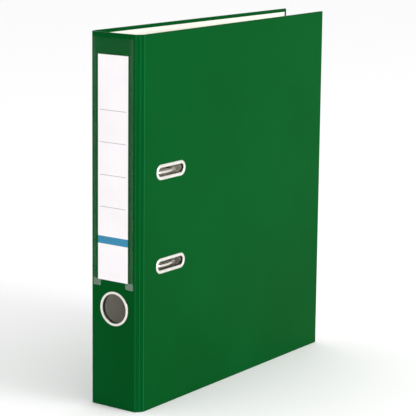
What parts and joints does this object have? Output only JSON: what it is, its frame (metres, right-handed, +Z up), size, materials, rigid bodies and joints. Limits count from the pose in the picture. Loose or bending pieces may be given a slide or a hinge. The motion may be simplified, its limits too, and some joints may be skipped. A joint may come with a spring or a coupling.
{
  "type": "lever arch file",
  "caption": "Slim A4 lever arch file: hinged board case, finger ring, metal-edged slots, label pocket, and a riveted mechanism with lever, arches, posts and sliding compressor.",
  "frame": {"origin": "middle of the footprint of the closed file, on the surface it stands on", "axes": "+X across the thickness from the back cover to the front cover, +Y from the spine to the open edge, +Z up along the spine"},
  "size_m": [0.0562, 0.2872, 0.318],
  "materials": {
    "greyboard": "matte",
    "green_film": "satin",
    "lining_paper": "matte",
    "clear_film": "gloss",
    "label_paper": "matte",
    "nickel_plate": "polished",
    "nickel_trim": "polished",
    "zinc_sheet": "satin",
    "spring_steel": "satin",
    "black_plastic": "satin"
  },
  "bodies": {
    "back_cover": {"back_board": "greyboard", "back_covering": "green_film", "back_lining": "lining_paper", "mechanism_base": "zinc_sheet", "mechanism_rivets": "nickel_trim", "upper_post": "nickel_plate", "lower_post": "nickel_plate", "lever_pin": "nickel_plate"},
    "spine": {"back_hinge_strip": "greyboard", "spine_board": "greyboard", "front_hinge_strip": "greyboard", "spine_lining": "lining_paper", "spine_covering": "green_film", "finger_ring": "nickel_trim", "finger_ring_washer": "nickel_trim", "label_pocket": "clear_film"},
    "front_cover": {"front_board": "greyboard", "front_lining": "lining_paper", "front_covering": "green_film", "upper_slot_eyelet": "nickel_trim", "upper_slot_backplate": "nickel_trim", "lower_slot_eyelet": "nickel_trim", "lower_slot_backplate": "nickel_trim"},
    "arches": {"arch_wire": "nickel_plate", "arch_spring": "spring_steel"},
    "lever": {"lever": "nickel_plate", "roller_pin": "nickel_plate"},
    "lever_roller": {"lever_roller": "black_plastic"},
    "compressor": {"compressor_bar": "zinc_sheet", "compressor_bushes": "black_plastic"},
    "label_card": {"label_card": "label_paper"}
  },
  "joints": [
    {"name": "spine_hinge", "type": "hinge", "parent": "back_cover", "child": "spine", "pos_m": [-0.02729, -0.1364, 0], "axis": [0, 0, -1], "range_deg": [0, 90]},
    {"name": "front_cover_hinge", "type": "hinge", "parent": "spine", "child": "front_cover", "pos_m": [0.02801, -0.1364, 0], "axis": [0, 0, -1], "range_deg": [0, 100]},
    {"name": "lever_hinge", "type": "hinge", "parent": "back_cover", "child": "lever", "pos_m": [-0.01364, -0.0909, 0.1606], "axis": [0, 0, 1], "range_deg": [0, 60]},
    {"name": "arch_hinge", "type": "hinge", "parent": "back_cover", "child": "arches", "pos_m": [-0.02014, -0.1044, 0.1606], "axis": [0, 0, -1], "range_deg": [0, 30], "deforming": ["arch_spring"]},
    {"name": "lever_roller_spin", "type": "hinge", "parent": "lever", "child": "lever_roller", "pos_m": [-0.01524, -0.0964, 0.1606], "axis": [0, 0, 1], "continuous": true},
    {"name": "compressor_slide", "type": "slide", "parent": "back_cover", "child": "compressor", "axis": [1, 0, 0], "range_m": [0, 0.022]},
    {"name": "label_card_slide", "type": "slide", "parent": "spine", "child": "label_card", "axis": [0, 0, 1], "range_m": [0, 0.205]}
  ],
  "couplings": [
    {"joint": "arch_hinge", "follows": "lever_hinge", "ratio": 0.5}
  ]
}
